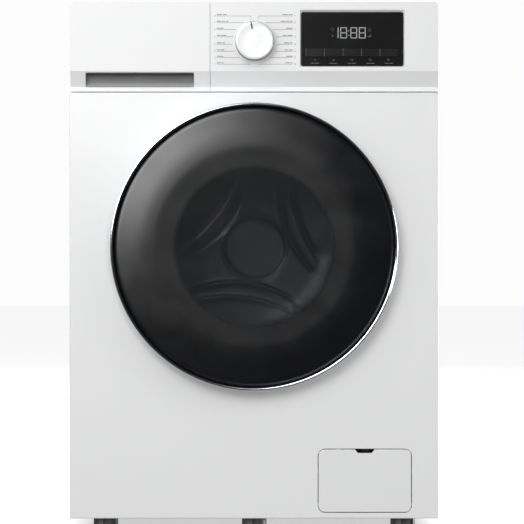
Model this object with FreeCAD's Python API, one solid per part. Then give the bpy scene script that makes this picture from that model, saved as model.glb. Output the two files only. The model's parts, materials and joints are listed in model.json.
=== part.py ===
import FreeCAD, Part
import math
import os

os.makedirs("parts", exist_ok=True)

# Front load washing machine. Millimetres. Origin on the floor under the middle of the machine:
# +X to the right, +Y to the back, +Z up. The front faces -Y.
V = FreeCAD.Vector

# ---- cabinet ----
HALF_W = 298.5
TOP_Z = 850.0
BODY_Z0 = 16.0
FRONT_Y = -250.0
SHELL_Y0 = -233.0
BACK_Y = 272.0
SHEET = 1.5
FLANGE = 22.0
WORKTOP_Z0 = 828.0
PANEL_TOP_Z = 705.6
PANEL_REAR_Y = -236.0
PANEL_SHEET = 1.7

# ---- control panel ----
FASCIA_HALF_W = 296.9
FASCIA_Y = -262.0
FASCIA_WALL = 3.0
BAND_TOP_Z = 739.0
BAND_LOW_Z = 714.0
BAND_LOW_Y = -248.0
LIP_Y = -252.0
LIP_Z = 706.4
DRAWER_SEAM_X = -71.4
SEAM_GAP = 0.6
KNOB_X = 0.7
KNOB_Z = 786.3
KNOB_FRONT_Y = -286.0
KNOB_SKIRT_R = 31.5
KNOB_FACE_R = 29.6
WINDOW_X = (75.7, 240.4)
WINDOW_Z = (747.2, 834.0)
WINDOW_Y = (-260.0, -257.5)
BUTTON_X0 = 83.1
BUTTON_PITCH = 29.84
BUTTON_Z = (762.0, 774.9)
BUTTON_GAP = 0.35
BUTTON_FRONT_Y = -261.8
BUTTON_COUNT = 5
POINTER_ANGLE = 101.25

# ---- door, drum and tub share one horizontal axis ----
AXIS_Z = 455.7
DISH_R = 224.0
DISH_FLOOR_R = 214.0
DISH_FLOOR_Y = -240.0
OPENING_R = 172.0
RIM_R = 232.0
COVER_R = 226.3
WINDOW_R = 157.0
HINGE_X = -211.0
HINGE_Y = -270.0
HINGE_PIN_R = 3.0
RUNNING_GAP = 0.05
ARM_Z = (38.0, 48.0)
LATCH_X = 203.0
DRUM_R = 236.0
DRUM_WALL = 1.2
DRUM_Y = (-152.0, 124.0)
DRUM_TURN = -8.3
TUB_R = 254.0
TUB_WALL = 4.0
TUB_SPLIT_Y = -22.0
TUB_FRONT_Y = -188.0
TUB_BACK_Y = 149.0
PULLEY_R = 145.0
PULLEY_Y = (206.0, 222.0)
MOTOR_Z = 122.0
MOTOR_PULLEY_R = 10.0

# ---- rear connections, dampers, drawer cells and drum back ----
VALVE_X = -235.0
VALVE_Z = 775.0
DRAIN_X = 250.0
DRAIN_Z = 700.0
GLAND_X = 250.0
GLAND_Z = 770.0
DAMPER_X = 165.0
DAMPER_Y = 10.0
TRAY_CELLS = ((-278.0, -206.0), (-203.5, -153.5), (-151.0, -92.0))
STAR_STEPS = ((250.0, 186.0, 104.0), (343.0, 252.0, 108.0))
DRUM_BACK_Y = 112.0
HUB_R = 53.0

# ---- filter flap, pump and feet ----
FLAP_X = (104.0, 254.0)
FLAP_Z = (26.4, 127.8)
FLAP_CORNER_R = 11.0
FLAP_GAP = 1.2
FLAP_T = 3.0
FLAP_AXIS = (-246.2, 38.5)
PUMP_X = 179.0
PUMP_Z = 82.0
FOOT_R = 20.0
FOOT_X = 242.0
FOOT_FRONT_Y = -214.0
FOOT_REAR_Y = 225.0
FOOT_STEM_R = 5.0


def box(x, y, z):
    """Box from three (low, high) pairs."""
    return Part.makeBox(x[1] - x[0], y[1] - y[0], z[1] - z[0], V(x[0], y[0], z[0]))


def rod_y(radius, y0, y1, x=0.0, z=AXIS_Z):
    """Round bar along Y."""
    return Part.makeCylinder(radius, y1 - y0, V(x, y0, z), V(0, 1, 0))


def rod_z(radius, z0, z1, x, y):
    """Round bar along Z."""
    return Part.makeCylinder(radius, z1 - z0, V(x, y, z0), V(0, 0, 1))


def rod_x(radius, x0, x1, y, z):
    """Round bar along X."""
    return Part.makeCylinder(radius, x1 - x0, V(x0, y, z), V(1, 0, 0))


def tube_y(outer, inner, y0, y1, x=0.0, z=AXIS_Z):
    """Round tube along Y."""
    return rod_y(outer, y0, y1, x, z).cut(rod_y(inner, y0 - 1, y1 + 1, x, z))


def prism(points, axis, low, high):
    """Extrude a closed outline along X, Y or Z. The points are the other two coordinates in order."""
    place = {
        "x": lambda a, b: V(low, a, b),
        "y": lambda a, b: V(a, low, b),
        "z": lambda a, b: V(a, b, low),
    }[axis]
    corners = [place(a, b) for a, b in points]
    face = Part.Face(Part.makePolygon(corners + [corners[0]]))
    step = {"x": V(high - low, 0, 0), "y": V(0, high - low, 0), "z": V(0, 0, high - low)}[axis]
    return face.extrude(step)


def turned(profile, x=0.0, z=AXIS_Z):
    """Solid of revolution about a line along Y. The profile is a list of (radius, y)."""
    corners = [V(x + r, y, z) for r, y in profile]
    face = Part.Face(Part.makePolygon(corners + [corners[0]]))
    return face.revolve(V(x, 0, z), V(0, 1, 0), 360)


def edges_along(shape, direction, test):
    """Straight edges parallel to a direction whose middle point passes the test."""
    found = []
    for edge in shape.Edges:
        if not isinstance(edge.Curve, Part.Line):
            continue
        if abs(abs(edge.Curve.Direction.dot(direction)) - 1) > 1e-6:
            continue
        if test(edge.CenterOfMass):
            found.append(edge)
    return found


def rounded(shape, direction, radius, test=lambda p: True):
    """Round the edges that edges_along finds."""
    return shape.makeFillet(radius, edges_along(shape, direction, test))


def hose(points, outer, inner):
    """Hose of round section along a smooth line through the points."""
    spine = Part.BSplineCurve()
    spine.interpolate([V(*p) for p in points])
    wire = Part.Wire(spine.toShape())
    start = V(*points[0])
    way = spine.tangent(spine.FirstParameter)[0]
    solids = []
    for radius in (outer, inner):
        ring = Part.Wire(Part.makeCircle(radius, start, way))
        solids.append(wire.makePipeShell([ring], True, False))
    return solids[0].cut(solids[1])


def spun(shape, degrees):
    """Copy turned about the drum axis. Positive turns +X towards +Z."""
    copy = shape.copy()
    copy.rotate(V(0, 0, AXIS_Z), V(0, -1, 0), degrees)
    return copy


def fuse(shapes):
    """One solid from a list of touching or crossing solids."""
    return shapes[0].multiFuse(shapes[1:]).removeSplitter()


def save(name, shape):
    """Write one node."""
    shape.exportStep("parts/" + name + ".step")


# ---- cabinet ----
def cabinet_shell():
    """Folded sheet sides and back with flanges round the front, top and bottom."""
    shell = box((-HALF_W, HALF_W), (SHELL_Y0, BACK_Y), (BODY_Z0, WORKTOP_Z0))
    shell = rounded(shell, V(0, 0, 1), 4.0, lambda p: p.y > 0)
    inner = (HALF_W - SHEET, SHELL_Y0 + SHEET, BACK_Y - SHEET, BODY_Z0 + SHEET, WORKTOP_Z0 - SHEET)
    shell = shell.cut(box((-inner[0], inner[0]), (inner[1], inner[2]), (inner[3], inner[4])))
    free_x = HALF_W - FLANGE
    free_y = (SHELL_Y0 + FLANGE, BACK_Y - FLANGE)
    shell = shell.cut(box((-free_x, free_x), (SHELL_Y0 - 1, inner[1] + 1), (38.0, 822.0)))
    shell = shell.cut(box((-free_x, free_x), free_y, (0.0, 40.0)))
    top_hole = box((-free_x, free_x), free_y, (800.0, TOP_Z))
    for side in (-1, 1):
        tab = sorted((side * 224.0, side * free_x))
        top_hole = top_hole.cut(box(tab, (-16.0, 16.0), (800.0, TOP_Z)))
        hook_hole = rod_z(2.4, 800.0, TOP_Z, side * 234.0, 0.0)
        shell = shell.cut(hook_hole)
    shell = shell.cut(top_hole)
    access = rounded(box((-165.0, 165.0), (260.0, 280.0), (255.0, 655.0)), V(0, 1, 0), 30.0)
    shell = shell.cut(access)
    for x, z in cover_screw_places():
        shell = shell.cut(rod_y(2.1, 260.0, 280.0, x, z))
    shell = shell.cut(rod_y(17.2, 260.0, 280.0, VALVE_X, VALVE_Z))
    shell = shell.cut(rod_y(15.2, 260.0, 280.0, DRAIN_X, DRAIN_Z))
    shell = shell.cut(rod_y(12.2, 260.0, 280.0, GLAND_X, GLAND_Z))
    for x, y in foot_places() + [(0.0, FOOT_FRONT_Y)]:
        shell = shell.cut(rod_z(12.0, 0.0, 40.0, x, y))
    shell = shell.cut(box((-288.0, -270.0), (SHELL_Y0 - 1, SHELL_Y0 + 5), (734.0, 823.0)))
    return shell


def cover_screw_places():
    """Screws of the rear access cover."""
    places = []
    for z in (245.0, 455.0, 665.0):
        places.append((-176.0, z))
        places.append((176.0, z))
    places.append((0.0, 245.0))
    places.append((0.0, 665.0))
    return places


def rear_access_cover():
    """Pressed cover over the belt, with a shallow bulge and cooling slots."""
    low, high = BACK_Y, BACK_Y + SHEET
    plate = rounded(box((-185.0, 185.0), (low, high), (235.0, 675.0)), V(0, 1, 0), 12.0)
    bulge = rounded(box((-150.0, 150.0), (low, low + 13.0), (270.0, 640.0)), V(0, 1, 0), 40.0)
    bulge = bulge.makeChamfer(8.0, [e for e in bulge.Edges if e.BoundBox.YMin > low + 12.9])
    hollow = rounded(box((-148.5, 148.5), (low - 1.0, low + 11.5), (271.5, 638.5)), V(0, 1, 0), 38.5)
    hollow = hollow.makeChamfer(8.0, [e for e in hollow.Edges if e.BoundBox.YMin > low + 11.4])
    cover = plate.fuse(bulge).cut(hollow)
    for row in range(6):
        z = 560.0 - 14.0 * row
        slot = rounded(box((-60.0, 60.0), (low - 1, low + 20), (z, z + 5.0)), V(0, 1, 0), 2.4)
        cover = cover.cut(slot)
    for x, z in cover_screw_places():
        cover = cover.cut(rod_y(2.1, low - 1, high + 1, x, z))
    return cover.removeSplitter()


def rear_cover_screws():
    """Eight self-tapping screws with domed heads and a cross slot."""
    screws = []
    for x, z in cover_screw_places():
        head = rod_y(4.5, BACK_Y + SHEET, BACK_Y + SHEET + 2.6, x, z)
        head = head.makeFillet(1.4, [e for e in head.Edges if e.BoundBox.YMin > BACK_Y + SHEET + 2.5])
        screw = head.fuse(rod_y(2.0, BACK_Y - 9.0, BACK_Y + SHEET, x, z))
        for dx, dz in ((2.6, 0.5), (0.5, 2.6)):
            screw = screw.cut(box((x - dx, x + dx), (BACK_Y + 3.0, BACK_Y + 6.0), (z - dz, z + dz)))
        screws.append(screw)
    return Part.makeCompound(screws)


def worktop():
    """Laminate board in a moulded frame with rounded edges and a small drip step at the back."""
    top = box((-HALF_W, HALF_W), (-235.5, BACK_Y), (WORKTOP_Z0, TOP_Z - 0.5))
    top = rounded(top, V(0, 0, 1), 8.0, lambda p: p.y > 0)
    upper = [e for e in top.Edges if e.BoundBox.ZMin > TOP_Z - 0.6 and e.BoundBox.YMax > -235.0]
    top = top.makeFillet(3.0, upper)
    top = top.cut(box((-286.0, 286.0), (-200.0, 236.0), (0.0, WORKTOP_Z0 + 4.0)))
    groove = box((-280.0, 280.0), (-222.0, 252.0), (TOP_Z - 1.3, TOP_Z))
    groove = groove.cut(box((-279.0, 279.0), (-221.0, 251.0), (0.0, TOP_Z + 1)))
    return top.cut(groove)


def front_panel():
    """Folded front sheet with the dish and opening of the door and the hole of the filter flap."""
    panel = box((-HALF_W, HALF_W), (FRONT_Y, PANEL_REAR_Y), (BODY_Z0, PANEL_TOP_Z))
    panel = rounded(panel, V(0, 1, 0), 5.0, lambda p: p.z > 100)
    front_edges = [e for e in panel.Edges if e.BoundBox.YMax < FRONT_Y + 0.01]
    panel = panel.makeFillet(2.0, front_edges)
    inner_x = HALF_W - PANEL_SHEET
    inner_z = (BODY_Z0 + PANEL_SHEET, PANEL_TOP_Z - PANEL_SHEET)
    hollow = box((-inner_x, inner_x), (FRONT_Y + PANEL_SHEET, PANEL_REAR_Y + 1), inner_z)
    panel = panel.cut(rounded(hollow, V(0, 1, 0), 3.4, lambda p: p.z > 100))
    panel = panel.cut(rod_y(DISH_R, FRONT_Y - 1, PANEL_REAR_Y + 1))
    t = SHEET
    dish = turned([
        (DISH_R + 3.0, FRONT_Y),
        (DISH_R, FRONT_Y),
        (DISH_FLOOR_R, DISH_FLOOR_Y - t),
        (OPENING_R, DISH_FLOOR_Y - t),
        (OPENING_R, DISH_FLOOR_Y),
        (DISH_FLOOR_R + 0.6, DISH_FLOOR_Y),
        (DISH_R + 0.8, FRONT_Y + t),
        (DISH_R + 3.0, FRONT_Y + t),
    ])
    panel = panel.fuse(dish)
    gap = FLAP_GAP
    hole_x = (FLAP_X[0] - gap, FLAP_X[1] + gap)
    hole = box(hole_x, (FRONT_Y - 1, FRONT_Y + 5), (FLAP_Z[0] - gap, FLAP_Z[1] + gap))
    panel = panel.cut(rounded(hole, V(0, 1, 0), FLAP_CORNER_R + gap))
    y, z = FLAP_AXIS
    for side, edge in ((-1, FLAP_X[0] - 3.4), (1, FLAP_X[1] + 3.4)):
        lug_x = sorted((edge, edge + side * 4.0))
        lug = box(lug_x, (FRONT_Y + PANEL_SHEET - 0.1, y + 5.0), (z - 5.0, z + 5.0))
        panel = panel.fuse(lug).cut(rod_x(1.9 + RUNNING_GAP, edge - 5.0, edge + 5.0, y, z))
    latch_slot = box((LATCH_X - 9.0, LATCH_X + 9.0), (-245.0, -236.0), (AXIS_Z - 22.0, AXIS_Z + 22.0))
    return panel.cut(latch_slot).removeSplitter()


def base_tray():
    """Moulded base with raised walls, foot bosses and damper seats."""
    tray = box((-292.0, 292.0), (-229.0, 266.0), (BODY_Z0 + SHEET + 0.2, 46.0))
    tray = tray.cut(box((-288.0, 288.0), (-225.0, 262.0), (BODY_Z0 + SHEET + 4.2, 60.0)))
    for x, y in foot_places():
        tray = tray.fuse(rod_z(16.0, BODY_Z0 + SHEET + 0.2, 44.0, x, y))
    for side in (-1, 1):
        seat = box((side * DAMPER_X - 20, side * DAMPER_X + 20), (DAMPER_Y - 18, DAMPER_Y + 18), (20.0, 52.0))
        tray = tray.fuse(seat)
    tray = tray.fuse(rod_z(10.0, BODY_Z0 + SHEET + 0.2, 44.0, 0.0, FOOT_FRONT_Y))
    for x, y in foot_places():
        tray = tray.cut(rod_z(FOOT_STEM_R + RUNNING_GAP, 0.0, 60.0, x, y))
    tray = tray.cut(rod_z(4.0, 0.0, 40.0, 0.0, FOOT_FRONT_Y))
    cradle = box((PUMP_X - 24, PUMP_X + 24), (-190.0, -160.0), (20.0, PUMP_Z - 34.0))
    cradle = cradle.cut(rod_y(33.2, -200.0, -150.0, PUMP_X, PUMP_Z))
    return tray.fuse(cradle).removeSplitter()


def foot_places():
    """Centres of the four adjustable feet."""
    return [(x, y) for y in (FOOT_FRONT_Y, FOOT_REAR_Y) for x in (-FOOT_X, FOOT_X)]


def levelling_foot(x, y):
    """Ribbed foot with a soft pad below and a round stem up into the base."""
    pad = rod_z(FOOT_R - 2.0, 0.0, 3.0, x, y)
    body = rod_z(FOOT_R, 3.0, BODY_Z0 - 1.2, x, y)
    for step in range(8):
        angle = math.radians(45.0 * step - 90.0)
        out = V(x + FOOT_R * math.cos(angle), y + FOOT_R * math.sin(angle), 4.5)
        body = body.cut(Part.makeCylinder(3.4, BODY_Z0, out, V(0, 0, 1)))
    return fuse([pad, body, rod_z(FOOT_STEM_R, 3.0, 42.0, x, y)])


def centre_foot():
    """Fixed support under the middle of the front edge."""
    y = FOOT_FRONT_Y
    body = fuse([rod_z(FOOT_R, 0.0, BODY_Z0 - 1.2, 0.0, y), rod_z(3.9, 8.0, 36.0, 0.0, y)])
    slot = Part.makeCylinder(3.4, BODY_Z0, V(0.0, y - FOOT_R, 4.5), V(0, 0, 1))
    return body.cut(slot)


def mains_cord_gland():
    """Round gland where the mains lead enters. The bore takes the lead."""
    y = BACK_Y
    gland = turned([(4.0, y - 14), (12.0, y - 14), (12.0, y), (17.0, y), (17.0, y + 3),
                    (9.0, y + 12), (4.0, y + 12)],
                   GLAND_X, GLAND_Z)
    return gland.fuse(tube_y(15.0, 11.9, y - SHEET - 5.0, y - SHEET, GLAND_X, GLAND_Z)).removeSplitter()


# ---- control panel ----
def fascia_outline(inset=0.0):
    """Outline (y, z) of the moulded front with its undercut grip band and lower lip."""
    top = TOP_Z - inset
    rear = PANEL_REAR_Y + (1.0 if inset else 0.0)
    return [
        (FASCIA_Y + inset, top),
        (FASCIA_Y + inset, BAND_TOP_Z),
        (BAND_LOW_Y + inset, BAND_LOW_Z),
        (LIP_Y + 1.6 * inset, LIP_Z + inset),
        (rear, LIP_Z + inset),
        (rear, top),
    ]


def fascia_block(low, high, side):
    """Solid moulding with the outer top corner rounded on one side."""
    block = prism(fascia_outline(), "x", low, high)
    return rounded(block, V(0, 1, 0), 6.5, lambda p: p.z > TOP_Z - 1 and p.x * side > 290.0)


def taper_recess():
    """Recess of the display, wider at its mouth."""
    wires = []
    for y, grow in ((WINDOW_Y[1], 0.0), (FASCIA_Y - 1.0, 1.0)):
        x0, x1 = (WINDOW_X[0] - 0.3 - 1.7 * grow, WINDOW_X[1] + 0.3 + 2.2 * grow)
        z0, z1 = (WINDOW_Z[0] - 0.3 - 1.4 * grow, WINDOW_Z[1] + 0.3 + 4.4 * grow)
        corners = [V(x0, y, z0), V(x1, y, z0), V(x1, y, z1), V(x0, y, z1), V(x0, y, z0)]
        wires.append(Part.makePolygon(corners))
    return Part.makeLoft(wires, True)


def button_bar(gap):
    """Opening that the five push buttons share."""
    end = BUTTON_X0 + BUTTON_PITCH * BUTTON_COUNT
    return box((BUTTON_X0 - gap, end + gap), (-265.0, -250.0), (BUTTON_Z[0] - gap, BUTTON_Z[1] + gap))


def control_panel():
    """Front moulding with the display recess, knob well and the frame behind the drawer."""
    left = DRAWER_SEAM_X + SEAM_GAP
    block = fascia_block(left, FASCIA_HALF_W, 1)
    hollow = prism(fascia_outline(FASCIA_WALL), "x", left + FASCIA_WALL, FASCIA_HALF_W - FASCIA_WALL)
    boss = box((70.0, 246.0), (-261.0, -254.5), (741.0, 844.0))
    panel = block.cut(hollow).fuse(boss)
    panel = panel.cut(taper_recess()).cut(button_bar(BUTTON_GAP))
    panel = panel.cut(rod_y(4.0, -270.0, -250.0, KNOB_X, KNOB_Z))
    frame = box((-FASCIA_HALF_W, left + 1.0), (-241.0, PANEL_REAR_Y), (LIP_Z, TOP_Z - 1.0))
    frame = rounded(frame, V(0, 1, 0), 6.5, lambda p: p.z > TOP_Z - 2 and p.x < -290)
    frame = frame.cut(box((-283.5, -86.5), (-245.0, -230.0), (741.5, 806.0)))
    return panel.fuse(frame).removeSplitter()


def display_window():
    """Smoked window with the slot for the buttons."""
    pane = rounded(box(WINDOW_X, WINDOW_Y, WINDOW_Z), V(0, 1, 0), 3.0)
    return pane.cut(button_bar(BUTTON_GAP))


def option_button(index):
    """Push button: a flat key with a stem that reaches the switch behind it."""
    x0 = BUTTON_X0 + BUTTON_PITCH * index + 0.15
    x1 = x0 + BUTTON_PITCH - 0.3
    key = rounded(box((x0, x1), (BUTTON_FRONT_Y, -255.5), BUTTON_Z), V(0, 1, 0), 0.8)
    key = key.makeFillet(0.5, [e for e in key.Edges if e.BoundBox.YMax < BUTTON_FRONT_Y + 0.01])
    stem = rod_y(2.0, -255.6, -247.0, (x0 + x1) / 2, sum(BUTTON_Z) / 2)
    return key.fuse(stem)


def control_board():
    """Circuit board with the rotary selector, display module and push switches."""
    board = box((-40.0, 262.0), (-243.0, -241.4), (742.0, 836.0))
    parts = [board, box((105.0, 205.0), (-253.0, -242.9), (788.0, 830.0))]
    parts.append(box((KNOB_X - 9, KNOB_X + 9), (-252.0, -242.9), (KNOB_Z - 9, KNOB_Z + 9)))
    for index in range(BUTTON_COUNT):
        x = BUTTON_X0 + BUTTON_PITCH * (index + 0.5)
        parts.append(box((x - 3, x + 3), (-245.4, -242.9), (765.4, 771.4)))
    return fuse(parts).cut(rod_y(3.0 + RUNNING_GAP, -260.0, -230.0, KNOB_X, KNOB_Z))


def selector_knob():
    """Programme knob with a skirt, a domed face, a pointer groove and a shaft."""
    knob = turned([
        (0.0, -262.6), (KNOB_SKIRT_R, -262.6), (KNOB_SKIRT_R, -265.0), (KNOB_FACE_R + 1.0, -267.0),
        (KNOB_FACE_R + 0.4, -283.6), (KNOB_FACE_R - 2.0, KNOB_FRONT_Y), (0.0, KNOB_FRONT_Y),
    ], KNOB_X, KNOB_Z)
    groove_x = (KNOB_X + 19.0, KNOB_X + KNOB_FACE_R + 2)
    groove = box(groove_x, (-290.0, KNOB_FRONT_Y + 0.8), (KNOB_Z - 1.2, KNOB_Z + 1.2))
    groove.rotate(V(KNOB_X, 0, KNOB_Z), V(0, -1, 0), POINTER_ANGLE)
    return knob.cut(groove).fuse(rod_y(3.0, -262.7, -243.5, KNOB_X, KNOB_Z))


# ---- detergent drawer ----
def drawer_front():
    """Drawer front that carries on the line of the control panel, with a finger scoop below."""
    front = fascia_block(-FASCIA_HALF_W, DRAWER_SEAM_X, -1)
    behind = [(-242.0, TOP_Z + 1), (-242.0, LIP_Z - 1), (-230.0, LIP_Z - 1), (-230.0, TOP_Z + 1)]
    front = front.cut(prism(behind, "x", -300.0, -60.0))
    scoop = rounded(box((-272.7, -97.1), (-275.0, -244.5), (713.5, 737.0)), V(0, 1, 0), 3.0)
    return front.cut(scoop)


def drawer_tray():
    """Open tray with three compartments."""
    tray = box((-281.0, -89.0), (-241.8, -60.0), (744.5, 802.0))
    tray = rounded(tray, V(0, 0, 1), 6.0, lambda p: p.y > -100)
    for low, high in TRAY_CELLS:
        cell = rounded(box((low, high), (-236.0, -64.0), (748.0, 810.0)), V(0, 0, 1), 4.0)
        tray = tray.cut(cell)
    return tray


def siphon_cap():
    """Lift-out cap over the softener compartment."""
    cap = rounded(box((-202.5, -154.5), (-120.0, -72.0), (796.5, 799.5)), V(0, 0, 1), 4.0)
    bell = rod_z(9.0, 752.0, 797.0, -178.5, -90.0).cut(rod_z(7.0, 751.0, 790.0, -178.5, -90.0))
    return cap.fuse(bell)


def dispenser_housing():
    """Box that the tray slides in, with the water channel lid and the outlet spout."""
    shell = box((-286.0, -84.0), (-235.6, -40.0), (736.0, 822.0))
    shell = shell.cut(box((-283.0, -87.0), (-240.0, -43.0), (741.5, 806.0)))
    spout = fuse([rod_z(14.0, 716.0, 737.0, -185.0, -62.0), rod_y(7.0, -41.0, -22.0, -268.0, 812.0)])
    return shell.fuse(spout).cut(rod_z(11.5, 700.0, 745.0, -185.0, -62.0)).removeSplitter()


# ---- water and drain ----
def inlet_valve():
    """Solenoid valve with a threaded stub for the supply hose and an outlet nozzle."""
    body = box((VALVE_X - 17, VALVE_X + 17), (228.0, 262.0), (VALVE_Z - 17, VALVE_Z + 17))
    neck = rod_y(17.0, 261.0, BACK_Y + 3.0, VALVE_X, VALVE_Z)
    stub = rod_y(13.2, BACK_Y + 2.0, 290.0, VALVE_X, VALVE_Z)
    nozzle = rod_y(7.0, 205.0, 229.0, VALVE_X, VALVE_Z)
    coil = box((VALVE_X + 16, VALVE_X + 48), (232.0, 258.0), (VALVE_Z - 14, VALVE_Z + 14))
    return fuse([body, neck, stub, nozzle, coil]).cut(rod_y(8.5, 275.0, 295.0, VALVE_X, VALVE_Z))


def valve_hose():
    """Rubber hose from the valve to the dispenser."""
    points = [(VALVE_X, 222.0, VALVE_Z), (-252.0, 150.0, 784.0)]
    points += [(-267.0, 60.0, 806.0), (-268.0, -32.0, 812.0)]
    line = hose(points, 9.5, 7.1)
    return line.cut(rod_y(7.0, 200.0, 230.0, VALVE_X, VALVE_Z)).cut(rod_y(7.0, -42.0, -22.0, -268.0, 812.0))


def dispenser_tub_hose():
    """Corrugated hose from the dispenser to the tub."""
    profile = [(14.2, 0.0), (16.0, 0.0)]
    for fold in range(4):
        low = 4.0 + 8.0 * fold
        profile += [(16.0, low), (19.0, low + 2.0), (19.0, low + 4.0), (16.0, low + 6.0)]
    profile += [(16.0, 42.0), (14.2, 42.0)]
    bellows = turned(profile, 0.0, 0.0)
    bellows.rotate(V(0, 0, 0), V(1, 0, 0), 90)
    bellows.translate(V(-185.0, -62.0, 690.0))
    return bellows


def drain_pump_body():
    """Filter chamber, volute and motor of the drain pump."""
    solids = [rod_y(32.0, -232.0, -150.0, PUMP_X, PUMP_Z), rod_y(42.0, -151.0, -112.0, PUMP_X, PUMP_Z)]
    solids.append(rod_y(27.0, -113.0, -60.0, PUMP_X, PUMP_Z))
    solids.append(rod_z(14.0, PUMP_Z + 20.0, 145.0, PUMP_X, -190.0))
    solids.append(rod_z(11.0, PUMP_Z + 20.0, 145.0, PUMP_X + 26.0, -132.0))
    body = fuse(solids)
    body = body.cut(rod_y(28.0, -240.0, -149.0, PUMP_X, PUMP_Z))
    body = body.cut(rod_y(36.0, -150.0, -118.0, PUMP_X, PUMP_Z))
    body = body.cut(rod_z(11.0, PUMP_Z, 150.0, PUMP_X, -190.0))
    body = body.cut(rod_z(8.0, PUMP_Z, 150.0, PUMP_X + 26.0, -132.0))
    return body.cut(rod_y(3.0 + RUNNING_GAP, -120.0, -100.0, PUMP_X, PUMP_Z))


def pump_impeller():
    """Four-bladed impeller on its shaft."""
    solids = [rod_y(8.0, -142.0, -122.0, PUMP_X, PUMP_Z), rod_y(3.0, -123.0, -102.0, PUMP_X, PUMP_Z)]
    solids.append(box((PUMP_X - 30, PUMP_X + 30), (-142.0, -124.0), (PUMP_Z - 1.5, PUMP_Z + 1.5)))
    solids.append(box((PUMP_X - 1.5, PUMP_X + 1.5), (-142.0, -124.0), (PUMP_Z - 30, PUMP_Z + 30)))
    return fuse(solids)


def pump_filter():
    """Screw-in lint filter with a grip bar and a slotted basket."""
    cap = fuse([rod_y(30.0, -238.0, -232.3, PUMP_X, PUMP_Z), rod_y(27.6, -232.4, -222.0, PUMP_X, PUMP_Z)])
    bar = box((PUMP_X - 26, PUMP_X + 26), (-244.0, -237.5), (PUMP_Z - 3.5, PUMP_Z + 3.5))
    basket = tube_y(24.0, 21.0, -222.5, -160.0, PUMP_X, PUMP_Z)
    for row in range(3):
        y = -212.0 + 17.0 * row
        basket = basket.cut(box((PUMP_X - 30, PUMP_X + 30), (y, y + 9.0), (PUMP_Z - 9.0, PUMP_Z + 9.0)))
        basket = basket.cut(box((PUMP_X - 9, PUMP_X + 9), (y, y + 9.0), (PUMP_Z - 30.0, PUMP_Z + 30.0)))
    return fuse([cap, bar, basket])


def sump_hose():
    """Hose from the tub sump down to the filter chamber."""
    points = [(60.0, -110.0, 172.0), (66.0, -115.0, 150.0), (120.0, -150.0, 132.0), (168.0, -184.0, 158.0),
              (PUMP_X, -190.0, 136.0)]
    line = hose(points, 17.5, 14.3)
    return line.cut(rod_z(14.0, 160.0, 180.0, 60.0, -110.0)).cut(rod_z(14.0, 100.0, 145.0, PUMP_X, -190.0))


def drain_outlet_hose():
    """Inner drain hose from the pump to the outlet elbow in the back."""
    points = [(PUMP_X + 26, -132.0, 130.0), (PUMP_X + 34, -126.0, 165.0), (268.0, -40.0, 280.0),
              (272.0, 80.0, 520.0), (262.0, 200.0, 690.0), (DRAIN_X, 255.0, DRAIN_Z)]
    line = hose(points, 13.6, 11.2)
    line = line.cut(rod_z(11.0, 100.0, 145.0, PUMP_X + 26, -132.0))
    line = line.cut(rod_z(14.0, 100.0, 170.0, PUMP_X, -190.0))
    return line.cut(rod_y(11.0, 235.0, 262.0, DRAIN_X, DRAIN_Z))


def drain_outlet():
    """Outlet spigot in the back for the drain hose, which is not fitted."""
    return turned([(7.5, 235.0), (11.0, 235.0), (11.0, 262.0), (15.0, 262.0), (15.0, BACK_Y), (20.0, BACK_Y),
                   (20.0, BACK_Y + 3), (11.0, BACK_Y + 3), (10.0, 288.0), (7.5, 288.0)], DRAIN_X, DRAIN_Z)


# ---- door ----
def door_cover():
    """One-piece smoked cover: a rounded ring that falls to a slightly domed window."""
    front = [(COVER_R, -266.0), (COVER_R, -269.5), (225.2, -272.4), (222.6, -275.4), (218.6, -277.9),
             (213.0, -279.6), (204.0, -282.0), (195.0, -284.4), (186.0, -286.6), (177.0, -288.5),
             (168.0, -289.6), (159.0, -290.0), (145.0, -289.8)]
    back = [(0.0, -285.6), (145.0, -286.8), (159.0, -287.0), (177.0, -285.6), (195.0, -281.6),
            (213.0, -276.2), (218.0, -275.2), (221.0, -272.8), (223.4, -268.5), (223.6, -266.0)]
    return turned(front + [(100.0, -289.2), (0.0, -288.6)] + back)


def door_front_frame():
    """Black carrier ring behind the cover. It holds the bowl and hides the hinge and latch."""
    ring = turned([(WINDOW_R, -272.6), (216.8, -272.6), (216.8, -262.0), (213.5, -262.0), (213.5, -270.6),
                   (168.0, -270.6), (168.0, -262.5), (WINDOW_R, -262.5)])
    ring = ring.cut(hinge_pocket(-272.0)).cut(latch_pocket())
    return max(ring.Solids, key=lambda solid: solid.Volume)


def hinge_pocket(y0):
    """Room in the door for the fixed hinge arms as the door swings."""
    return box((-216.5, -172.0), (y0, -240.0), (AXIS_Z - 56, AXIS_Z + 56)).fuse(
        rod_z(6.6, AXIS_Z - 56, AXIS_Z + 56, HINGE_X, HINGE_Y))


def latch_pocket():
    """Room for the latch hook."""
    return box((LATCH_X - 12, LATCH_X + 12), (-269.9, -240.0), (AXIS_Z - 14, AXIS_Z + 14))


def door_rim():
    """Polished ring round the cover."""
    return turned([(COVER_R + 0.1, -262.0), (RIM_R - 2.0, -262.0), (RIM_R, -264.5), (RIM_R, -276.0),
                   (RIM_R - 1.2, -279.4), (RIM_R - 3.0, -280.4), (COVER_R + 0.7, -279.2), (COVER_R + 0.1, -277.6)])


def door_glass():
    """Deep glass bowl with a flange."""
    outer = [(166.0, -262.4), (166.0, -257.0), (150.5, -257.0), (149.0, -240.0), (143.0, -200.0), (136.0, -172.0),
             (124.0, -158.0), (104.0, -152.5), (0.0, -150.0)]
    inner = [(0.0, -155.0), (103.0, -157.5), (120.0, -162.4), (131.0, -175.0), (138.0, -201.0), (144.0, -240.0),
             (145.5, -262.4)]
    return turned(outer + inner)


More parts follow.
